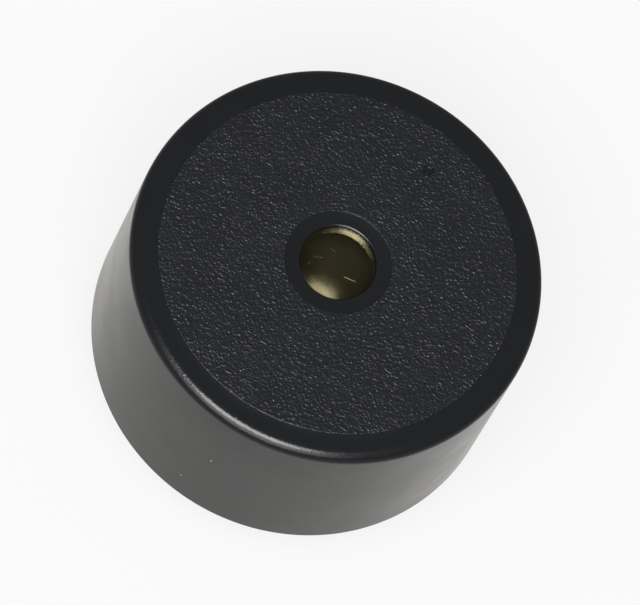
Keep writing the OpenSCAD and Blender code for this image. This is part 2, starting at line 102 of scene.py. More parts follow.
class Graph:
    """A node tree under construction, with short ways to add nodes and links."""

    def __init__(self, tree: bpy.types.NodeTree) -> None:
        """Wraps a tree.

        Args:
            tree: the material's or group's node tree.
        """
        self.tree = tree

    def add(self, kind: str, **settings: object) -> bpy.types.Node:
        """Adds a node.

        Args:
            kind: the node's Blender type.
            **settings: properties of the node, set by name.

        Returns:
            The new node.
        """
        node = self.tree.nodes.new(kind)
        for name, value in settings.items():
            setattr(node, name, value)
        return node

    def link(self, source: bpy.types.NodeSocket, target: bpy.types.NodeSocket) -> None:
        """Joins an output to an input."""
        self.tree.links.new(source, target)

    def value(self, target: bpy.types.NodeSocket, source: object) -> None:
        """Gives an input a link, where the source is a socket, or else a plain value."""
        if isinstance(source, bpy.types.NodeSocket):
            self.link(source, target)
        else:
            target.default_value = source

    def math(self, operation: str, a: object, b: object = 0.0, c: object = 0.0) -> bpy.types.NodeSocket:
        """Adds a Math node.

        Args:
            operation: the name of the operation.
            a: first value or socket.
            b: second value or socket.
            c: third value or socket.

        Returns:
            The result's socket.
        """
        node = self.add("ShaderNodeMath", operation=operation)
        for place, source in enumerate((a, b, c)):
            self.value(node.inputs[place], source)
        return node.outputs[0]

    def span(self, source: object, low: float, high: float, to_low: float = 0.0,
             to_high: float = 1.0) -> bpy.types.NodeSocket:
        """Maps a range of values to another with smooth ends.

        Args:
            source: value or socket to map.
            low: value that becomes to_low.
            high: value that becomes to_high.
            to_low: result at the low end.
            to_high: result at the high end.

        Returns:
            The result's socket.
        """
        node = self.add("ShaderNodeMapRange", interpolation_type="SMOOTHSTEP")
        for place, number in enumerate((source, low, high, to_low, to_high)):
            self.value(node.inputs[place], number)
        return node.outputs[0]

    def mix(self, factor: object, a: object, b: object) -> bpy.types.NodeSocket:
        """Mixes two colours.

        Args:
            factor: share of the second colour.
            a: first colour or socket.
            b: second colour or socket.

        Returns:
            The mixed colour's socket.
        """
        node = self.add("ShaderNodeMix", data_type="RGBA")
        self.value(node.inputs[MIX_FACTOR], factor)
        self.value(node.inputs[MIX_A], a)
        self.value(node.inputs[MIX_B], b)
        return node.outputs[MIX_RESULT]

    def blend(self, factor: object, a: bpy.types.NodeSocket,
              b: bpy.types.NodeSocket) -> bpy.types.NodeSocket:
        """Mixes two shaders.

        Args:
            factor: share of the second shader.
            a: first shader.
            b: second shader.

        Returns:
            The mixed shader's socket.
        """
        node = self.add("ShaderNodeMixShader")
        for place, source in enumerate((factor, a, b)):
            self.value(node.inputs[place], source)
        return node.outputs[0]

    def noise(self, vector: bpy.types.NodeSocket, scale: object, detail: float = 2.0,
              roughness: float = 0.5) -> bpy.types.NodeSocket:
        """Adds a noise texture.

        Args:
            vector: where the noise is read.
            scale: waves per metre.
            detail: number of finer layers.
            roughness: strength of the finer layers.

        Returns:
            The noise value's socket.
        """
        node = self.add("ShaderNodeTexNoise")
        self.link(vector, node.inputs["Vector"])
        self.value(node.inputs["Scale"], scale)
        node.inputs["Detail"].default_value = detail
        node.inputs["Roughness"].default_value = roughness
        return node.outputs[0]


def rgba(colour: Colour) -> tuple[float, float, float, float]:
    """Gives a colour its alpha of one."""
    return (*colour, 1.0)


class Effect(Enum):
    """Surface effects that several finishes share, each a node group."""

    TONE = "Tone Drift"
    GRAIN = "Eroded Grain"
    SCRATCHES = "Fine Scratches"
    SPECK = "Dust Speck"


class EffectLibrary:
    """Builds each shared node group once and hands it out."""

    def __init__(self) -> None:
        """Starts with no groups built."""
        self.built: dict[Effect, bpy.types.NodeTree] = {}

    def group(self, effect: Effect) -> bpy.types.NodeTree:
        """Finds or builds the node group of an effect.

        Args:
            effect: which effect is wanted.

        Returns:
            The effect's node group.
        """
        if effect not in self.built:
            makers = {
                Effect.TONE: self._tone,
                Effect.GRAIN: self._grain,
                Effect.SCRATCHES: self._scratches,
                Effect.SPECK: self._speck,
            }
            self.built[effect] = makers[effect]()
        return self.built[effect]

    def place(self, graph: Graph, effect: Effect, vector: bpy.types.NodeSocket,
              **values: object) -> bpy.types.Node:
        """Places a group in a material.

        Args:
            graph: the material's tree.
            effect: which effect to place.
            vector: where the effect is read.
            **values: inputs of the group.

        Returns:
            The group's node.
        """
        node = graph.add("ShaderNodeGroup", node_tree=self.group(effect))
        graph.link(vector, node.inputs["Vector"])
        for name, value in values.items():
            graph.value(node.inputs[name], value)
        return node

    def _start(self, effect: Effect, inputs: dict[str, object], outputs: dict[str, str]) -> tuple:
        """Makes an empty group.

        Args:
            effect: the effect that names the group.
            inputs: default value of each input, a number or a colour.
            outputs: socket kind of each output.

        Returns:
            The graph, the group's input node and its output node.
        """
        tree = bpy.data.node_groups.new(effect.value, "ShaderNodeTree")
        tree.interface.new_socket("Vector", in_out="INPUT", socket_type="NodeSocketVector")
        for name, value in inputs.items():
            kind = "NodeSocketFloat" if isinstance(value, float) else "NodeSocketColor"
            socket = tree.interface.new_socket(name, in_out="INPUT", socket_type=kind)
            socket.default_value = value
        for name, kind in outputs.items():
            tree.interface.new_socket(name, in_out="OUTPUT", socket_type=kind)
        graph = Graph(tree)
        return graph, graph.add("NodeGroupInput"), graph.add("NodeGroupOutput")

    def _tone(self) -> bpy.types.NodeTree:
        """Cloudy drift of a colour towards a second one.

        Returns:
            The node group.
        """
        graph, given, out = self._start(
            Effect.TONE,
            {"Scale": 400.0, "Base": rgba((0.5, 0.5, 0.5)), "Drift": rgba((0.4, 0.4, 0.4))},
            {"Color": "NodeSocketColor", "Mask": "NodeSocketFloat"})
        cloud = graph.noise(given.outputs["Vector"], given.outputs["Scale"], 4.0, 0.6)
        mask = graph.span(cloud, *CLOUD_SPAN)
        graph.link(graph.mix(mask, given.outputs["Base"], given.outputs["Drift"]), out.inputs["Color"])
        graph.link(mask, out.inputs["Mask"])
        return graph.tree

    def _grain(self) -> bpy.types.NodeTree:
        """Fine pitted skin of a spark-eroded mould, with a coarser unevenness under it.

        Returns:
            The node group.
        """
        graph, given, out = self._start(
            Effect.GRAIN,
            {"Scale": 9000.0, "Patch": 0.22, "Peak": 2.0},
            {"Height": "NodeSocketFloat"})
        vector = given.outputs["Vector"]
        fine = graph.math("POWER", graph.noise(vector, given.outputs["Scale"], 1.0), given.outputs["Peak"])
        broad = graph.noise(vector, graph.math("MULTIPLY", given.outputs["Scale"], PATCH_SCALE), 1.0)
        share = graph.math("MULTIPLY", given.outputs["Patch"], graph.span(broad, *PATCH_SPAN))
        height = graph.math("MULTIPLY_ADD", fine, graph.math("SUBTRACT", 1.0, share), share)
        graph.link(height, out.inputs["Height"])
        return graph.tree

    def _scratches(self) -> bpy.types.NodeTree:
        """Sparse thin scratches in two directions, as a mask.

        Returns:
            The node group.
        """
        graph, given, out = self._start(
            Effect.SCRATCHES,
            {"Scale": 700.0, "Amount": 0.5, "Angle": 0.4},
            {"Mask": "NodeSocketFloat"})
        vector = given.outputs["Vector"]
        total = None
        for turn, stretch in STREAKS:
            rotate = graph.add("ShaderNodeVectorRotate", rotation_type="Z_AXIS")
            graph.link(vector, rotate.inputs["Vector"])
            graph.link(graph.math("ADD", given.outputs["Angle"], turn), rotate.inputs["Angle"])
            narrow = graph.add("ShaderNodeVectorMath", operation="MULTIPLY")
            graph.link(rotate.outputs[0], narrow.inputs[0])
            narrow.inputs[1].default_value = (1.0, stretch, 1.0)
            streak = graph.noise(narrow.outputs[0], given.outputs["Scale"], 2.0, 0.6)
            line = graph.span(streak, *STREAK_SPAN)
            total = line if total is None else graph.math("MAXIMUM", total, line)
        graph.link(graph.math("MULTIPLY", total, given.outputs["Amount"]), out.inputs["Mask"])
        return graph.tree

    def _speck(self) -> bpy.types.NodeTree:
        """One round speck of dust, as a mask.

        Returns:
            The node group.
        """
        graph, given, out = self._start(
            Effect.SPECK,
            {"X": 0.0, "Y": 0.0, "Z": 0.0, "Size": 0.05 * MM},
            {"Mask": "NodeSocketFloat"})
        middle = graph.add("ShaderNodeCombineXYZ")
        for axis in "XYZ":
            graph.link(given.outputs[axis], middle.inputs[axis])
        away = graph.add("ShaderNodeVectorMath", operation="DISTANCE")
        graph.link(given.outputs["Vector"], away.inputs[0])
        graph.link(middle.outputs[0], away.inputs[1])
        inside = graph.math("LESS_THAN", away.outputs["Value"], given.outputs["Size"])
        graph.link(inside, out.inputs["Mask"])
        return graph.tree


EFFECTS = EffectLibrary()


# ---- Finishes -------------------------------------------------------------------------------------------


@dataclass(frozen=True)
class Finish:
    """A finish with a drifting colour, some roughness variation and a fine bump.

    Attributes:
        name: what the finish is called.
        base: main colour.
        drift: colour that the main one drifts towards.
        metallic: one for bare metal.
        roughness: roughness of the clean surface.
        unevenness: how far the roughness varies.
        cloud: waves per metre of the drift.
        grain: waves per metre of the bump.
        relief: height of the bump in metres.
        scratched: share of scratches.
        scratch_scale: waves per metre along the scratches.
    """

    name: str
    base: Colour
    drift: Colour
    metallic: float = 0.0
    roughness: float = 0.4
    unevenness: float = 0.1
    cloud: float = 500.0
    grain: float = 4000.0
    relief: float = 1e-6
    scratched: float = 0.0
    scratch_scale: float = 900.0

    def material(self) -> bpy.types.Material:
        """Builds the finish, or finds it if it is built already.

        Returns:
            The material.
        """
        found = bpy.data.materials.get(self.name)
        if found:
            return found
        made = bpy.data.materials.new(self.name)
        made.use_nodes = True
        graph = Graph(made.node_tree)
        shader = made.node_tree.nodes["Principled BSDF"]
        where = graph.add("ShaderNodeTexCoord").outputs["Object"]
        self.dress(graph, shader, where)
        return made

    def dress(self, graph: Graph, shader: bpy.types.Node, where: bpy.types.NodeSocket) -> None:
        """Connects the finish's pattern to its shader.

        Args:
            graph: the material's tree.
            shader: the Principled shader.
            where: object coordinates.
        """
        rough = self.coloured(graph, shader, where)
        height = EFFECTS.place(graph, Effect.GRAIN, where, Scale=self.grain).outputs["Height"]
        if self.scratched:
            lines = EFFECTS.place(graph, Effect.SCRATCHES, where, Scale=self.scratch_scale,
                                  Amount=self.scratched)
            haze = graph.math("MULTIPLY", lines.outputs["Mask"], SCRATCH_HAZE)
            rough = graph.math("ADD", rough, haze)
            height = graph.math("SUBTRACT", height, lines.outputs["Mask"])
        graph.link(rough, shader.inputs["Roughness"])
        self.raised(graph, shader, height)

    def coloured(self, graph: Graph, shader: bpy.types.Node,
                 where: bpy.types.NodeSocket) -> bpy.types.NodeSocket:
        """Connects the drifting colour and works out the roughness that drifts with it.

        Args:
            graph: the material's tree.
            shader: the Principled shader.
            where: object coordinates.

        Returns:
            The roughness of the clean surface.
        """
        tone = EFFECTS.place(graph, Effect.TONE, where, Scale=self.cloud, Base=rgba(self.base),
                             Drift=rgba(self.drift))
        graph.link(tone.outputs["Color"], shader.inputs["Base Color"])
        shader.inputs["Metallic"].default_value = self.metallic
        return graph.span(tone.outputs["Mask"], 0.0, 1.0, self.roughness, self.roughness + self.unevenness)

    def raised(self, graph: Graph, shader: bpy.types.Node, height: bpy.types.NodeSocket) -> None:
        """Turns a height into the finish's bump.

        Args:
            graph: the material's tree.
            shader: the Principled shader.
            height: height of the surface, one for the full relief.
        """
        bump = graph.add("ShaderNodeBump")
        bump.inputs["Distance"].default_value = self.relief
        graph.link(height, bump.inputs["Height"])
        graph.link(bump.outputs["Normal"], shader.inputs["Normal"])


@dataclass(frozen=True)
class Speck:
    """A single speck of dust.

    Attributes:
        x: its middle along X.
        y: its middle along Y.
        z: its middle along Z.
        size: its radius.
    """

    x: float
    y: float
    z: float
    size: float


@dataclass(frozen=True)
class DustyPlastic(Finish):
    """Plastic with single specks of dust on it.

    Attributes:
        specks: the specks.
        dust: colour of the dust.
    """

    specks: tuple[Speck, ...] = ()
    dust: Colour = (0.4, 0.4, 0.38)

    def dress(self, graph: Graph, shader: bpy.types.Node, where: bpy.types.NodeSocket) -> None:
        """Connects the plastic's pattern, then lays the dust over its colour.

        Args:
            graph: the material's tree.
            shader: the Principled shader.
            where: object coordinates.
        """
        super().dress(graph, shader, where)
        colour = shader.inputs["Base Color"].links[0].from_socket
        for speck in self.specks:
            dot = EFFECTS.place(graph, Effect.SPECK, where, X=speck.x, Y=speck.y, Z=speck.z,
                                Size=speck.size)
            colour = graph.mix(dot.outputs["Mask"], colour, rgba(self.dust))
        graph.link(colour, shader.inputs["Base Color"])


@dataclass(frozen=True)
class Scratch:
    """A single straight scratch on a flat face.

    Attributes:
        x: its middle along X.
        y: its middle along Y.
        angle: its direction from +X, in degrees.
        half_length: half its length.
        half_width: half its width.
        strength: one for a bright scratch, less for a faint one.
    """

    x: float
    y: float
    angle: float
    half_length: float
    half_width: float
    strength: float


@dataclass(frozen=True)
class ScratchedBrass(Finish):
    """Rolled brass with a soft sheen, faint wear and a few single scratches.

    Attributes:
        scratch_depth: depth of a scratch, as a share of the relief.
        scratch_roughness: roughness inside a scratch.
        scratches: the single scratches.
    """

    scratch_depth: float = 12.0
    scratch_roughness: float = 0.5
    scratches: tuple[Scratch, ...] = ()

    def dress(self, graph: Graph, shader: bpy.types.Node, where: bpy.types.NodeSocket) -> None:
        """Connects the sheen, the wear and the scratches to the shader.

        Args:
            graph: the material's tree.
            shader: the Principled shader.
            where: object coordinates.
        """
        sheen = self.coloured(graph, shader, where)
        streaks = EFFECTS.place(graph, Effect.SCRATCHES, where, Scale=self.scratch_scale,
                                Amount=self.scratched)
        lines = graph.math("MAXIMUM", streaks.outputs["Mask"], self._single_scratches(graph, where))
        worn = graph.math("MULTIPLY", lines, self.scratch_roughness)
        graph.link(graph.math("MAXIMUM", sheen, worn), shader.inputs["Roughness"])
        grain = EFFECTS.place(graph, Effect.GRAIN, where, Scale=self.grain)
        groove = graph.math("MULTIPLY", lines, self.scratch_depth)
        self.raised(graph, shader, graph.math("SUBTRACT", grain.outputs["Height"], groove))

    def _single_scratches(self, graph: Graph, where: bpy.types.NodeSocket) -> bpy.types.NodeSocket:
        """Masks the single scratches.

        Args:
            graph: the material's tree.
            where: object coordinates.

        Returns:
            The mask's socket, one in the middle of a scratch.
        """
        total: object = 0.0
        for scratch in self.scratches:
            centred = graph.add("ShaderNodeMapping", vector_type="TEXTURE")
            graph.link(where, centred.inputs["Vector"])
            centred.inputs["Location"].default_value = (scratch.x, scratch.y, 0.0)
            centred.inputs["Rotation"].default_value = (0.0, 0.0, math.radians(scratch.angle))
            split = graph.add("ShaderNodeSeparateXYZ")
            graph.link(centred.outputs[0], split.inputs[0])
            forth = graph.math("ABSOLUTE", split.outputs["X"])
            aside = graph.math("ABSOLUTE", split.outputs["Y"])
            core = SCRATCH_CORE * scratch.half_length
            along = graph.span(forth, core, scratch.half_length, 1.0, 0.0)
            across = graph.span(aside, 0.0, scratch.half_width, scratch.strength, 0.0)
            total = graph.math("MAXIMUM", total, graph.math("MULTIPLY", along, across))
        return total


CASE_SMOOTH = DustyPlastic("Housing plastic, smooth", (0.0076, 0.0083, 0.0106), (0.0064, 0.0072, 0.0093),
                           roughness=0.2, unevenness=0.04, cloud=350.0, grain=7000.0, relief=10e-6,
                           specks=(Speck(-0.76 * MM, -11.23 * MM, 6.24 * MM, 0.06 * MM),
                                   Speck(-1.81 * MM, -11.1 * MM, 2.26 * MM, 0.05 * MM)))
CASE_GRAINED = Finish("Housing plastic, eroded grain", (0.0094, 0.0102, 0.0134), (0.0081, 0.0089, 0.0118),
                      roughness=0.32, unevenness=0.06, cloud=350.0, grain=6800.0, relief=80e-6)
SILICONE = Finish("Silicone", (0.62, 0.6, 0.55), (0.55, 0.53, 0.48), roughness=0.42, relief=3e-6,
                  grain=1500.0)
BRASS = ScratchedBrass("Sounder brass", (0.84, 0.75, 0.42), (0.74, 0.65, 0.35), metallic=0.965,
                       roughness=0.16, unevenness=0.05, cloud=500.0, grain=1500.0, relief=0.5e-6,
                       scratched=0.3, scratch_scale=450.0,
                       scratches=(Scratch(1.0 * MM, 1.57 * MM, 6.0, 0.55 * MM, 0.035 * MM, 1.0),
                                  Scratch(-1.1 * MM, 1.8 * MM, 18.0, 0.5 * MM, 0.03 * MM, 0.66),
                                  Scratch(-0.55 * MM, 2.6 * MM, -8.0, 0.35 * MM, 0.03 * MM, 0.66),
                                  Scratch(1.5 * MM, 2.5 * MM, 40.0, 0.1 * MM, 0.02 * MM, 0.8),
                                  Scratch(-1.36 * MM, 1.24 * MM, 0.0, 0.05 * MM, 0.05 * MM, 0.9)))
CERAMIC = Finish("Piezo ceramic", (0.66, 0.6, 0.47), (0.6, 0.54, 0.41), roughness=0.7, relief=2e-6,
                 grain=9000.0)
FIRED_SILVER = Finish("Fired silver", (0.82, 0.82, 0.8), (0.7, 0.69, 0.64), metallic=0.9, roughness=0.38,
                      relief=2e-6, grain=7000.0)
SOLDER = Finish("Solder", (0.62, 0.63, 0.64), (0.5, 0.51, 0.52), metallic=1.0, roughness=0.2, relief=3e-6,
                grain=2500.0)
TINNED = Finish("Tinned metal", (0.71, 0.71, 0.7), (0.6, 0.6, 0.58), metallic=1.0, roughness=0.2,
                unevenness=0.12, relief=1.2e-6, grain=3500.0, scratched=0.4)
RED_SLEEVE = Finish("Red insulation", (0.45, 0.02, 0.015), (0.36, 0.015, 0.012), roughness=0.35)
BLUE_SLEEVE = Finish("Blue insulation", (0.03, 0.1, 0.42), (0.025, 0.08, 0.34), roughness=0.35)
BLACK_SLEEVE = Finish("Black insulation", (0.015, 0.015, 0.017), (0.022, 0.022, 0.024), roughness=0.35)
LAMINATE = Finish("Board laminate", (0.36, 0.2, 0.07), (0.28, 0.15, 0.05), roughness=0.5, relief=4e-6,
                  grain=3000.0)
COPPER = Finish("Copper", (0.72, 0.38, 0.22), (0.6, 0.3, 0.16), metallic=1.0, roughness=0.32, relief=1e-6,
                scratched=0.3)
FERRITE = Finish("Ferrite", (0.045, 0.042, 0.04), (0.07, 0.064, 0.06), roughness=0.6, relief=5e-6,
                 grain=5000.0)
ENAMELLED = Finish("Enamelled copper", (0.42, 0.13, 0.04), (0.34, 0.1, 0.03), metallic=0.7, roughness=0.25)
MOULDING = Finish("Component moulding", (0.02, 0.02, 0.021), (0.032, 0.032, 0.033), roughness=0.5,
                  relief=5e-6, grain=8000.0)
RESISTOR_COAT = Finish("Resistor coat", (0.02, 0.022, 0.026), (0.03, 0.032, 0.036), roughness=0.28)
CHIP_CERAMIC = Finish("Capacitor ceramic", (0.4, 0.26, 0.14), (0.34, 0.21, 0.11), roughness=0.45)
RESIN = Finish("Casting resin", (0.02, 0.02, 0.021), (0.03, 0.03, 0.031), roughness=0.16, unevenness=0.12,
               cloud=300.0, grain=500.0, relief=14e-6)

NODE_FINISHES: dict[str, Finish] = {
    "rib_adhesive": SILICONE,
    "piezo_ceramic": CERAMIC,
    "drive_electrode": FIRED_SILVER,
    "feedback_electrode": FIRED_SILVER,
    "disc_solder": SOLDER,
    "drive_lead": RED_SLEEVE,
    "feedback_lead": BLUE_SLEEVE,
    "ground_lead": BLACK_SLEEVE,
    "circuit_board": LAMINATE,
    "board_copper": COPPER,
    "board_solder": SOLDER,
    "pin_solder": SOLDER,
    "coil_core": FERRITE,
    "coil_winding": ENAMELLED,
    "coil_leads": TINNED,
    "transistor_body": MOULDING,
    "transistor_leads": TINNED,
    "diode_body": MOULDING,
    "diode_leads": TINNED,
    "base_resistor": RESISTOR_COAT,
    "feedback_resistor": RESISTOR_COAT,
    "bleed_resistor": RESISTOR_COAT,
    "resistor_caps": TINNED,
    "supply_capacitor": CHIP_CERAMIC,
    "capacitor_caps": TINNED,
}


# ---- Turned shapes --------------------------------------------------------------------------------------


@dataclass(frozen=True)
class Corner:
    """A corner of a turned piece's cross-section.

    Attributes:
        r: distance from the axis.
        z: height.
        rounding: radius of the corner, or zero where it stays sharp.
        segments: number of flats that the rounding has.
        fullness: profile of the rounding, 0.5 for a round one and more for a fuller one.
    """

    r: float
    z: float
    rounding: float = 0.0
    segments: int = 6
    fullness: float = 0.5


def turned(section: list[Corner], steps: int, closed: bool = True) -> bmesh.types.BMesh:
    """Spins a cross-section round the Z axis.

    Args:
        section: corners in order.
        steps: number of segments round the axis.
        closed: whether the last corner joins the first. An open section starts and ends on the axis.

    Returns:
        The mesh under construction.
    """
    shape = bmesh.new()
    verts = [shape.verts.new((corner.r, 0.0, corner.z)) for corner in section]
    pairs = list(zip(verts, verts[1:])) + ([(verts[-1], verts[0])] if closed else [])
    for pair in pairs:
        shape.edges.new(pair)
    for corner, vert in zip(section, verts):
        if corner.rounding:
            bmesh.ops.bevel(shape, geom=[vert], offset=corner.rounding, offset_type="OFFSET",
                            segments=corner.segments, profile=corner.fullness, affect="VERTICES",
                            material=-1)
    bmesh.ops.spin(shape, geom=shape.verts[:] + shape.edges[:], cent=(0, 0, 0), axis=(0, 0, 1),
                   dvec=(0, 0, 0), angle=TURN, steps=steps, use_merge=True)
    bmesh.ops.remove_doubles(shape, verts=shape.verts[:], dist=MERGE)
    bmesh.ops.recalc_face_normals(shape, faces=shape.faces[:])
    return shape


def finished_object(name: str, shape: bmesh.types.BMesh, finishes: list[Finish]) -> bpy.types.Object:
    """Makes a smooth-shaded object from a mesh under construction.

    Args:
        name: the object's name.
        shape: the mesh, which is freed.
        finishes: one finish for each material slot.

    Returns:
        The object, at the origin.
    """
    mesh = bpy.data.meshes.new(name)
    shape.to_mesh(mesh)
    shape.free()
    for finish in finishes:
        mesh.materials.append(finish.material())
    mesh.shade_smooth()
    made = bpy.data.objects.new(name, mesh)
    bpy.context.scene.collection.objects.link(made)
    return made


def weight_normals(piece: bpy.types.Object) -> None:
    """Draws the hard edges sharp and lets the flats set the shading where they meet a rounding."""
    piece.data.set_sharp_from_angle(angle=SHARP)
    flats = piece.modifiers.new("Weighted normals", "WEIGHTED_NORMAL")
    flats.mode = "FACE_AREA"
    flats.weight = FLAT_WEIGHT
    flats.keep_sharp = True


def combine(piece: bpy.types.Object, tool: bpy.types.Object, operation: str) -> None:
    """Applies a Boolean to a piece and throws the tool away.

    Args:
        piece: the piece that changes.
        tool: the closed shape that is joined or cut out.
        operation: the Boolean's operation, UNION or DIFFERENCE.
    """
    boolean = piece.modifiers.new("Combine", "BOOLEAN")
    boolean.object = tool
    boolean.operation = operation
    boolean.solver = "EXACT"
    bpy.context.view_layer.update()
    made = bpy.data.meshes.new_from_object(piece.evaluated_get(bpy.context.evaluated_depsgraph_get()))
    piece.modifiers.remove(boolean)
    piece.data = made
    bpy.data.objects.remove(tool)


def cut(piece: bpy.types.Object, tool: bpy.types.Object) -> None:
    """Cuts a tool's shape out of a piece."""
    combine(piece, tool, "DIFFERENCE")


def join(piece: bpy.types.Object, part: bpy.types.Object) -> None:
    """Joins a part to a piece as one closed shape."""
    combine(piece, part, "UNION")


# ---- Case -----------------------------------------------------------------------------------------------


@dataclass
class Case:
    """The moulded cup: smooth side, shoulder, rim and land, with a grained field round the sound hole.

    Attributes:
        side_wall: thickness of the wall around the sounder disc.
        front_wall: thickness of the front at the sound hole.
        edge: rounding between the front and the side.
        edge_fullness: profile of that rounding.
        foot: rounding of the bottom rim.
        lip: rounding of the bottom rim's inner edge.
        rim_width: width of the smooth rim.
        step: height of the grained field above the rim and the land.
        field_edge: rounding of the field's borders.
        crease: rounding at the foot of those borders.
        grain_depth: share of the step, from the top down, that has the grain.
        hole: radius of the sound hole.
        hole_edge: rounding of the hole's front edge.
        hole_back: rounding of the hole's inner edge.
        land_width: width of the smooth land around the hole.
        rib_height: height of the nodal rib.
        rib_middle: middle radius of the nodal rib.
        rib_tip: width of the rib at its tip.
        rib_root: width of the rib at its root.
        inner: rounding of the inside corner behind the front.
        rebate: depth of the rebate that holds the board.
        board_top: height of the board's top.
        gate: radius of the gate dimple.
        gate_depth: depth of the gate dimple.
        gate_edge: rounding of the dimple's floor.
        gate_stub: radius of the stub left in the dimple.
        gate_reach: distance of the dimple from the axis.
        gate_turn: direction of the dimple from +X, in degrees.
        radius: outer radius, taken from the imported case.
        height: overall height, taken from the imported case.
    """

    side_wall: float = 1.1 * MM
    front_wall: float = 1.0 * MM
    edge: float = 0.75 * MM
    edge_fullness: float = 0.6
    foot: float = 0.15 * MM
    lip: float = 0.05 * MM
    rim_width: float = 1.45 * MM
    step: float = 0.05 * MM
    field_edge: float = 0.045 * MM
    crease: float = 0.0045 * MM
    grain_depth: float = 0.9
    hole: float = 2.075 * MM
    hole_edge: float = 0.15 * MM
    hole_back: float = 0.04 * MM
    land_width: float = 0.85 * MM
    rib_height: float = 3.5 * MM
    rib_middle: float = 6.5 * MM
    rib_tip: float = 0.6 * MM
    rib_root: float = 1.1 * MM
    inner: float = 0.3 * MM
    rebate: float = 0.35 * MM
    board_top: float = 2.4 * MM
    gate: float = 0.3 * MM
    gate_depth: float = 0.15 * MM
    gate_edge: float = 0.04 * MM
    gate_stub: float = 0.12 * MM
    gate_reach: float = 7.5 * MM
    gate_turn: float = 76.0
    radius: float = field(init=False)
    height: float = field(init=False)

    def __post_init__(self) -> None:
        """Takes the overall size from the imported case."""
        low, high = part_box("housing")
        self.radius = high.x
        self.height = high.z

    def section(self) -> list[Corner]:
        """Lists the corners of the cup's cross-section.

        Returns:
            The corners, from the foot up the outside, across the front and down the inside.
        """
        rim_z = self.height - self.step
        under_z = rim_z - self.front_wall
        rib_z = under_z - self.rib_height
        field_r = self.radius - self.rim_width
        land_r = self.hole + self.land_width
        bore_r = self.radius - self.side_wall
        rebate_r = bore_r + self.rebate
        return [
            Corner(rebate_r, 0.0, self.lip, 2),
            Corner(self.radius, 0.0, self.foot, 6),
            Corner(self.radius, rim_z, self.edge, 28, self.edge_fullness),
            Corner(field_r, rim_z, self.crease, 2),
            Corner(field_r, self.height, self.field_edge, 5),
            Corner(land_r, self.height, self.field_edge, 5),
            Corner(land_r, rim_z, self.crease, 2),
            Corner(self.hole, rim_z, self.hole_edge, 10),
            Corner(self.hole, under_z, self.hole_back, 3),
            Corner(self.rib_middle - self.rib_root / 2, under_z),
            Corner(self.rib_middle - self.rib_tip / 2, rib_z),
            Corner(self.rib_middle + self.rib_tip / 2, rib_z),
            Corner(self.rib_middle + self.rib_root / 2, under_z),
            Corner(bore_r, under_z, self.inner, 5),
            Corner(bore_r, self.board_top),
            Corner(rebate_r, self.board_top),
        ]

    def gate_tool(self) -> bpy.types.Object:
        """Shapes the ring-shaped tool that cuts the gate dimple and leaves its stub.

        Returns:
            The tool, in its place on the front.
        """
        floor = self.height - self.gate_depth
        above = self.height + self.gate_depth
        shape = turned([
            Corner(0.0, floor + self.gate_depth / 2),
            Corner(self.gate_stub, floor + self.gate_depth / 2),
            Corner(self.gate_stub, floor),
            Corner(self.gate, floor, self.gate_edge, 3),
            Corner(self.gate, above),
            Corner(0.0, above),
        ], steps=48, closed=False)
        turn = Matrix.Rotation(math.radians(self.gate_turn), 4, "Z")
        place = turn @ Matrix.Translation((self.gate_reach, 0, 0))
        bmesh.ops.transform(shape, matrix=place, verts=shape.verts[:])
        return finished_object("gate_tool", shape, [CASE_SMOOTH])

    def build(self) -> list[bpy.types.Object]:
        """Builds the cup, with the grain on its field only.

        Returns:
            The piece.
        """
        shape = turned(self.section(), steps=288)
        field_r = self.radius - self.rim_width
        for face in shape.faces:
            centre = face.calc_center_median()
            reach = math.hypot(centre.x, centre.y)
            raised = centre.z > self.height - self.grain_depth * self.step
            face.material_index = 1 if raised and reach < field_r else 0
        case = finished_object("housing_cup", shape, [CASE_SMOOTH, CASE_GRAINED])
        cut(case, self.gate_tool())
        weight_normals(case)
        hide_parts("housing")
        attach(case, "root")
        return [case]


# ---- Sounder disc ---------------------------------------------------------------------------------------


@dataclass
class SounderDisc:
    """The brass disc behind the sound hole, with its blanked edge.

    Attributes:
        edge: rounding of the edge on the side that faces the hole.
        burr: rounding of the edge on the other side.
        steps: number of segments round the axis.
    """

    edge: float = 0.04 * MM
    burr: float = 0.015 * MM
    steps: int = 192

    def build(self) -> list[bpy.types.Object]:
        """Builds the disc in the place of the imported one.

        Returns:
            The disc.
        """
        low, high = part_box("diaphragm")
        shape = turned([
            Corner(0.0, low.z),
            Corner(high.x, low.z, self.burr, 2),
            Corner(high.x, high.z, self.edge, 4),
            Corner(0.0, high.z),
        ], steps=self.steps, closed=False)
        disc = finished_object("sounder_disc", shape, [BRASS])
        weight_normals(disc)
        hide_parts("diaphragm")
        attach(disc, "root")
        return [disc]


# ---- Pins and resin -------------------------------------------------------------------------------------


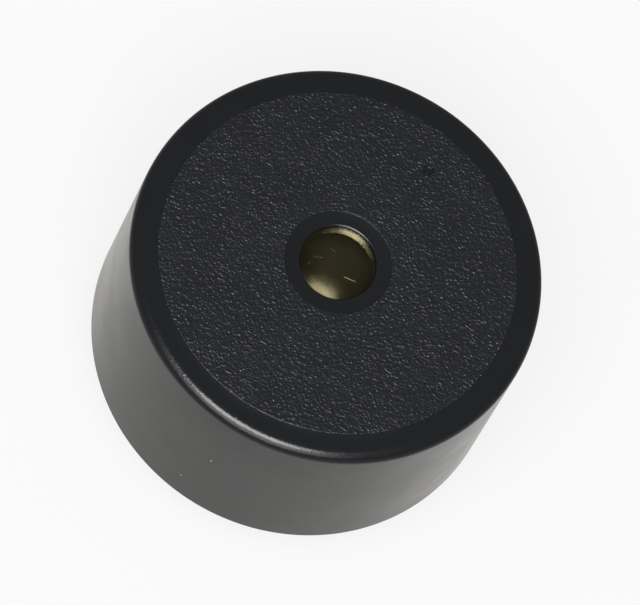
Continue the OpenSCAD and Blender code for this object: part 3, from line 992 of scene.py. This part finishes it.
@dataclass
class TerminalPin:
    """A pin with a rounded tip, a squared shank through resin and board, and a rounded head.

    Attributes:
        node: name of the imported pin.
        radius: radius of the round stretch.
        tip: rounding of the tip.
        shank: width of the squared shank.
        shank_edge: bevel of the shank's long edges.
        head: thickness of the head.
        head_edge: rounding of the head.
        steps: number of segments round the pin.
    """

    node: str
    radius: float = 0.4 * MM
    tip: float = 0.2 * MM
    shank: float = 0.7 * MM
    shank_edge: float = 0.05 * MM
    head: float = 0.35 * MM
    head_edge: float = 0.12 * MM
    steps: int = 48

    def build(self) -> list[bpy.types.Object]:
        """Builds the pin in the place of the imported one.

        Returns:
            The pin.
        """
        low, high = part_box(self.node)
        centre = Vector(((low.x + high.x) / 2, (low.y + high.y) / 2, 0.0))
        head_z = high.z - self.head
        wire = finished_object("wire", turned([
            Corner(0.0, low.z),
            Corner(self.radius, low.z, self.tip, 8),
            Corner(self.radius, 0.0),
            Corner(0.0, 0.0),
        ], steps=self.steps, closed=False), [TINNED])
        head = finished_object("head", turned([
            Corner(0.0, head_z),
            Corner((high.x - low.x) / 2, head_z),
            Corner((high.x - low.x) / 2, high.z, self.head_edge, 6),
            Corner(0.0, high.z),
        ], steps=self.steps, closed=False), [TINNED])
        pin = self._shank(head_z)
        for part in (wire, head):
            join(pin, part)
        pin.data.transform(Matrix.Translation(centre))
        weight_normals(pin)
        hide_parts(self.node)
        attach(pin, "root")
        return [pin]

    def _shank(self, top: float) -> bpy.types.Object:
        """Shapes the squared stretch.

        Args:
            top: height of its upper end.

        Returns:
            The shank, on the axis.
        """
        overlap = self.shank_edge
        shape = bmesh.new()
        bmesh.ops.create_cube(shape, size=1.0, matrix=Matrix.Translation((0, 0, top / 2))
                              @ Matrix.Diagonal((self.shank, self.shank, top + 2 * overlap, 1.0)))
        upright = [edge for edge in shape.edges if abs(edge.verts[0].co.z - edge.verts[1].co.z) > overlap]
        bmesh.ops.bevel(shape, geom=upright, offset=self.shank_edge, offset_type="OFFSET", segments=3,
                        profile=0.5, affect="EDGES", material=-1)
        return finished_object(f"{self.node}_finished", shape, [TINNED])


@dataclass
class ResinSeal:
    """The cast resin at the open end, which climbs the wall and the pins and has set a little uneven.

    Attributes:
        face: height of the resin's face above the seating plane.
        climb: height that the resin climbs at the wall.
        pin_climb: height that it climbs at a pin.
        pin_half: half the width of a pin's shank.
        top: height of the hidden upper side.
        climb_steps: number of flats in the climb at the wall.
        wave: height of the unevenness.
        wave_length: rough length of the unevenness.
        wave_stretch: frequencies of the cross wave and of the slanting one, against the long one.
        wave_phase: phases of the long wave and of the slanting one.
        slant: height of the slanting wave, as a share of the long one.
        calm: power with which the unevenness dies down towards the wall.
        rings: number of rings across the face.
        steps: number of segments round the axis.
    """

    face: float = 0.45 * MM
    climb: float = 0.25 * MM
    pin_climb: float = 0.14 * MM
    pin_half: float = 0.35 * MM
    top: float = 1.35 * MM
    climb_steps: int = 10
    wave: float = 0.012 * MM
    wave_length: float = 2.6 * MM
    wave_stretch: tuple[float, float] = (1.3, 2.3)
    wave_phase: tuple[float, float] = (0.7, 2.0)
    slant: float = 0.5
    calm: int = 8
    rings: int = 110
    steps: int = 288

    def build(self) -> list[bpy.types.Object]:
        """Builds the resin between the board and the open end.

        Returns:
            The resin.
        """
        _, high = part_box("seal")
        radius = high.x
        reach = radius - self.climb
        corners = [Corner(0.0, self.face)]
        corners += [Corner(reach * ring / self.rings, self.face) for ring in range(1, self.rings)]
        turns = [TURN / 4 * step / self.climb_steps for step in range(self.climb_steps + 1)]
        corners += [Corner(reach + self.climb * math.sin(turn),
                           self.face - self.climb * (1 - math.cos(turn))) for turn in turns]
        corners += [Corner(radius, self.top), Corner(0.0, self.top)]
        shape = turned(corners, steps=self.steps, closed=False)
        pins = [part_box(node) for node in ("positive_pin", "negative_pin")]
        centres = [((low.x + high.x) / 2, (low.y + high.y) / 2) for low, high in pins]
        for vert in shape.verts:
            if vert.co.z < self.face + TOUCH and math.hypot(vert.co.x, vert.co.y) < reach:
                vert.co.z -= self._rise(vert.co.x, vert.co.y, reach, centres)
        seal = finished_object("resin_seal", shape, [RESIN])
        seal.data.set_sharp_from_angle(angle=SHARP)
        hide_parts("seal")
        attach(seal, "root")
        return [seal]

    def _rise(self, x: float, y: float, reach: float, centres: list[tuple[float, float]]) -> float:
        """Tells how far the face stands out at a place.

        Args:
            x: place along X.
            y: place along Y.
            reach: radius at which the wall's own climb starts.
            centres: places of the pins.

        Returns:
            The distance, towards the seating plane.
        """
        cross, slanting = self.wave_stretch
        phase, slant_phase = self.wave_phase
        long_wave = math.sin(x / self.wave_length + phase) * math.cos(cross * y / self.wave_length)
        slant_wave = self.slant * math.sin(slanting * (x + y) / self.wave_length + slant_phase)
        rise = self.wave * (long_wave + slant_wave) * (1 - (math.hypot(x, y) / reach) ** self.calm)
        for pin_x, pin_y in centres:
            away = max(abs(x - pin_x), abs(y - pin_y)) - self.pin_half
            if away < 2 * self.pin_climb:
                rise += self.pin_climb * (1 - max(away, 0.0) / (2 * self.pin_climb)) ** 2
        return rise


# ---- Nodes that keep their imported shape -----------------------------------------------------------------


@dataclass
class PackedNodes:
    """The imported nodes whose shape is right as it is, each given its finish.

    Attributes:
        finishes: finish of each node.
    """

    finishes: dict[str, Finish]

    def build(self) -> list[bpy.types.Object]:
        """Puts each finish in its node's material slots.

        Returns:
            The dressed nodes.
        """
        dressed = []
        for name, finish in self.finishes.items():
            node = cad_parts[name]
            if not node.material_slots:
                node.data.materials.append(None)
            for slot in node.material_slots:
                slot.material = finish.material()
            dressed.append(node)
        return dressed


# ---- Studio ---------------------------------------------------------------------------------------------


@dataclass(frozen=True)
class Lamp:
    """A soft lamp that faces the front of the part.

    Attributes:
        name: what the lamp is called.
        distance: distance from the front face.
        tilt: angle from +Z towards -Y, in degrees.
        size: width and height.
        power: power in watts.
    """

    name: str
    distance: float
    tilt: float
    size: tuple[float, float]
    power: float

    def build(self, target: Vector) -> bpy.types.Object:
        """Hangs the lamp and turns it to the part.

        Args:
            target: point that the lamp faces.

        Returns:
            The lamp.
        """
        data = bpy.data.lights.new(self.name, "AREA")
        data.shape = "RECTANGLE"
        data.size, data.size_y = self.size
        data.energy = self.power
        lamp = bpy.data.objects.new(self.name, data)
        bpy.context.scene.collection.objects.link(lamp)
        tilt = math.radians(self.tilt)
        away = Vector((0.0, -math.sin(tilt), math.cos(tilt)))
        place = Matrix.Translation(target + away * self.distance)
        lamp.matrix_world = place @ Matrix.Rotation(tilt, 4, "X")
        return lamp


@dataclass
class Studio:
    """Pale floor, a large soft lamp in front and above, and a dim room that is brighter beside the lamp.

    Attributes:
        lamp: the lamp.
        floor_radius: radius of the floor.
        floor_white: colour of the floor.
        floor_glow: share of the floor that glows, to the eye and in reflections.
        mirrored: brightness of that glow in reflections, on the viewer's side and beyond; the lower value on
            the viewer's side is a painted shade of the floor near the part.
        mirrored_span: stretch along Y over which that painted shade changes.
        mirrored_away: brightness of that glow far from the part, a painted darkness in reflections.
        mirrored_ring: distances from the axis between which it falls to that painted darkness.
        mirrored_tint: colour of that glow in reflections, a painted warm tint; the eye sees it white.
        room: brightness of the room.
        glow: brightness that the room gains in reflections, at the glow's middle.
        glow_tilt: angle of the glow's middle from +Z towards -Y, in degrees.
        glow_spread: angle from its middle at which the glow ends, in degrees.
    """

    lamp: Lamp = Lamp("softbox", 520 * MM, 28.5, (310 * MM, 260 * MM), 2.3)
    floor_radius: float = 140 * MM
    floor_white: float = 0.9
    floor_glow: float = 0.8
    mirrored: tuple[float, float] = (0.72, 0.9)
    mirrored_span: tuple[float, float] = (-16 * MM, 2 * MM)
    mirrored_away: float = 0.2
    mirrored_ring: tuple[float, float] = (17.5 * MM, 24 * MM)
    mirrored_tint: Colour = (1.0, 0.985, 0.945)
    room: float = 0.24
    glow: float = 3.0
    glow_tilt: float = 56.0
    glow_spread: float = 42.0

    def build(self) -> list[bpy.types.Object]:
        """Builds the floor, the lamp and the world.

        Returns:
            The floor and the lamp.
        """
        low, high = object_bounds()
        self._world()
        return [self._floor(low[2]), self.lamp.build(Vector((0, 0, high[2])))]

    def _floor(self, level: float) -> bpy.types.Object:
        """Lays the floor under the pins' tips.

        Args:
            level: height of the floor.

        Returns:
            The floor.
        """
        shape = bmesh.new()
        bmesh.ops.create_circle(shape, cap_ends=True, segments=128, radius=self.floor_radius,
                                matrix=Matrix.Translation((0, 0, level)))
        mesh = bpy.data.meshes.new("floor")
        shape.to_mesh(mesh)
        shape.free()
        mesh.materials.append(self._paper())
        floor = bpy.data.objects.new("floor", mesh)
        bpy.context.scene.collection.objects.link(floor)
        floor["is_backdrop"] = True
        return floor

    def _paper(self) -> bpy.types.Material:
        """Makes the floor's finish: white paper that takes shadows and is see-through to an eye below. In
        reflections its glow carries a painted warm tint, a painted shade near the part and a painted
        darkness farther out.

        Returns:
            The material.
        """
        paper = bpy.data.materials.new("White paper")
        paper.use_nodes = True
        graph = Graph(paper.node_tree)
        paper.node_tree.nodes.clear()
        path = graph.add("ShaderNodeLightPath")
        to_eye = path.outputs["Is Camera Ray"]
        mirrored = graph.math("MINIMUM", graph.math("ADD", path.outputs["Is Glossy Ray"],
                                                    path.outputs["Is Transmission Ray"]), 1.0)
        matt = graph.add("ShaderNodeBsdfDiffuse")
        matt.inputs["Color"].default_value = rgba((self.floor_white,) * 3)
        glow = graph.add("ShaderNodeEmission")
        # Painted warm tint on the floor's glow as reflections see it; the eye sees the glow white.
        graph.link(graph.mix(to_eye, rgba(self.mirrored_tint), rgba(WHITE)), glow.inputs["Color"])
        strength = graph.math("MULTIPLY_ADD", mirrored, self._painted_floor_reflection(graph), to_eye)
        graph.link(strength, glow.inputs["Strength"])
        share = graph.math("MULTIPLY", graph.math("ADD", to_eye, mirrored), self.floor_glow)
        lit = graph.blend(share, matt.outputs[0], glow.outputs[0])
        behind = graph.math("MULTIPLY", graph.add("ShaderNodeNewGeometry").outputs["Backfacing"], to_eye)
        shown = graph.blend(behind, lit, graph.add("ShaderNodeBsdfTransparent").outputs[0])
        graph.link(shown, graph.add("ShaderNodeOutputMaterial").inputs[0])
        return paper

    def _painted_floor_reflection(self, graph: Graph) -> bpy.types.NodeSocket:
        """Paints how bright the floor is in reflections, from where on it they fall: a painted shade near
        the part on the viewer's side, and a painted darkness beyond a ring round the part.

        Args:
            graph: the material's tree.

        Returns:
            The brightness's socket.
        """
        where = graph.add("ShaderNodeTexCoord").outputs["Object"]
        split = graph.add("ShaderNodeSeparateXYZ")
        graph.link(where, split.inputs[0])
        # Painted shade: the floor's glow in reflections is darker near the part on the viewer's side.
        painted_near_shade = graph.span(split.outputs["Y"], *self.mirrored_span, *self.mirrored)
        flat = graph.add("ShaderNodeCombineXYZ")
        for axis in "XY":
            graph.link(split.outputs[axis], flat.inputs[axis])
        reach = graph.add("ShaderNodeVectorMath", operation="LENGTH")
        graph.link(flat.outputs[0], reach.inputs[0])
        # Painted darkness: beyond a ring round the part, the glow in reflections falls to a dim value.
        return graph.span(reach.outputs["Value"], *self.mirrored_ring, painted_near_shade, self.mirrored_away)

    def _world(self) -> None:
        """Sets the room: dim and even, with a bright patch in reflections, and white to the eye."""
        world = bpy.data.worlds.new("Room")
        bpy.context.scene.world = world
        world.use_nodes = True
        graph = Graph(world.node_tree)
        path = graph.add("ShaderNodeLightPath")
        tilt = math.radians(self.glow_tilt)
        towards = graph.add("ShaderNodeVectorMath", operation="DOT_PRODUCT")
        graph.link(graph.add("ShaderNodeTexCoord").outputs["Generated"], towards.inputs[0])
        towards.inputs[1].default_value = (0.0, -math.sin(tilt), math.cos(tilt))
        rim = math.cos(math.radians(self.glow_spread))
        glow = graph.span(towards.outputs["Value"], rim, 1.0, 0.0, self.glow)
        room = graph.math("MULTIPLY_ADD", path.outputs["Is Glossy Ray"], glow, self.room)
        strength = graph.math("MAXIMUM", graph.math("MAXIMUM", room, path.outputs["Is Camera Ray"]),
                              path.outputs["Is Transmission Ray"])
        background = world.node_tree.nodes["Background"]
        graph.link(strength, background.inputs["Strength"])
        background.inputs["Color"].default_value = rgba(WHITE)


# ---- Camera ---------------------------------------------------------------------------------------------


@dataclass
class ViewCamera:
    """A long lens that looks down on the front from the -Y side, rolled to the left.

    Attributes:
        distance: distance from the centre of the front.
        tilt: angle of the view from +Z towards -Y, in degrees.
        roll: roll of the picture, in degrees.
        focal_pixels: focal length in pixels of the picture.
        picture: width and height of the picture in pixels.
        front_pixel: where the centre of the front lands in the picture.
        sensor: width of the sensor in millimetres.
        clip: nearest and farthest distance that it sees.
    """

    distance: float = 495.2 * MM
    tilt: float = 24.3
    roll: float = 29.15
    focal_pixels: float = 9280.0
    picture: tuple[float, float] = (640.0, 605.0)
    front_pixel: tuple[float, float] = (338.4, 261.9)
    sensor: float = 36.0
    clip: tuple[float, float] = (10 * MM, 10.0)

    def build(self) -> list[bpy.types.Object]:
        """Places the camera.

        Returns:
            The camera.
        """
        _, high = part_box("housing")
        tilt = math.radians(self.tilt)
        roll = math.radians(self.roll)
        back = Vector((0.0, -math.sin(tilt), math.cos(tilt)))
        level = Vector((1.0, 0.0, 0.0))
        rise = back.cross(level)
        right = level * math.cos(roll) + rise * math.sin(roll)
        up = rise * math.cos(roll) - level * math.sin(roll)
        scale = self.distance / self.focal_pixels
        shift_x = (self.front_pixel[0] - self.picture[0] / 2) * scale
        shift_y = (self.picture[1] / 2 - self.front_pixel[1]) * scale
        place = Vector((0, 0, high.z)) + back * self.distance - right * shift_x - up * shift_y
        data = bpy.data.cameras.new("camera")
        data.sensor_fit = "HORIZONTAL"
        data.sensor_width = self.sensor
        data.lens = self.focal_pixels * self.sensor / self.picture[0]
        data.clip_start, data.clip_end = self.clip
        camera = bpy.data.objects.new("camera", data)
        bpy.context.scene.collection.objects.link(camera)
        turn = Matrix((right, up, back)).transposed().to_4x4()
        camera.matrix_world = Matrix.Translation(place) @ turn
        bpy.context.scene.camera = camera
        return [camera]


# ---- Assembly -------------------------------------------------------------------------------------------


def main() -> None:
    """Builds every sub-assembly in order."""
    logging.basicConfig(level=logging.INFO, format="%(name)s: %(message)s")
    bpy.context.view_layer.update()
    builders = [Case(), SounderDisc(), TerminalPin("positive_pin"), TerminalPin("negative_pin"),
                ResinSeal(), PackedNodes(NODE_FINISHES), Studio(), ViewCamera()]
    for builder in builders:
        for piece in builder.build():
            LOG.info("%s built %s", type(builder).__name__, piece.name)
    bpy.context.scene.view_settings.view_transform = "Standard"


if __name__ == "__main__":
    main()
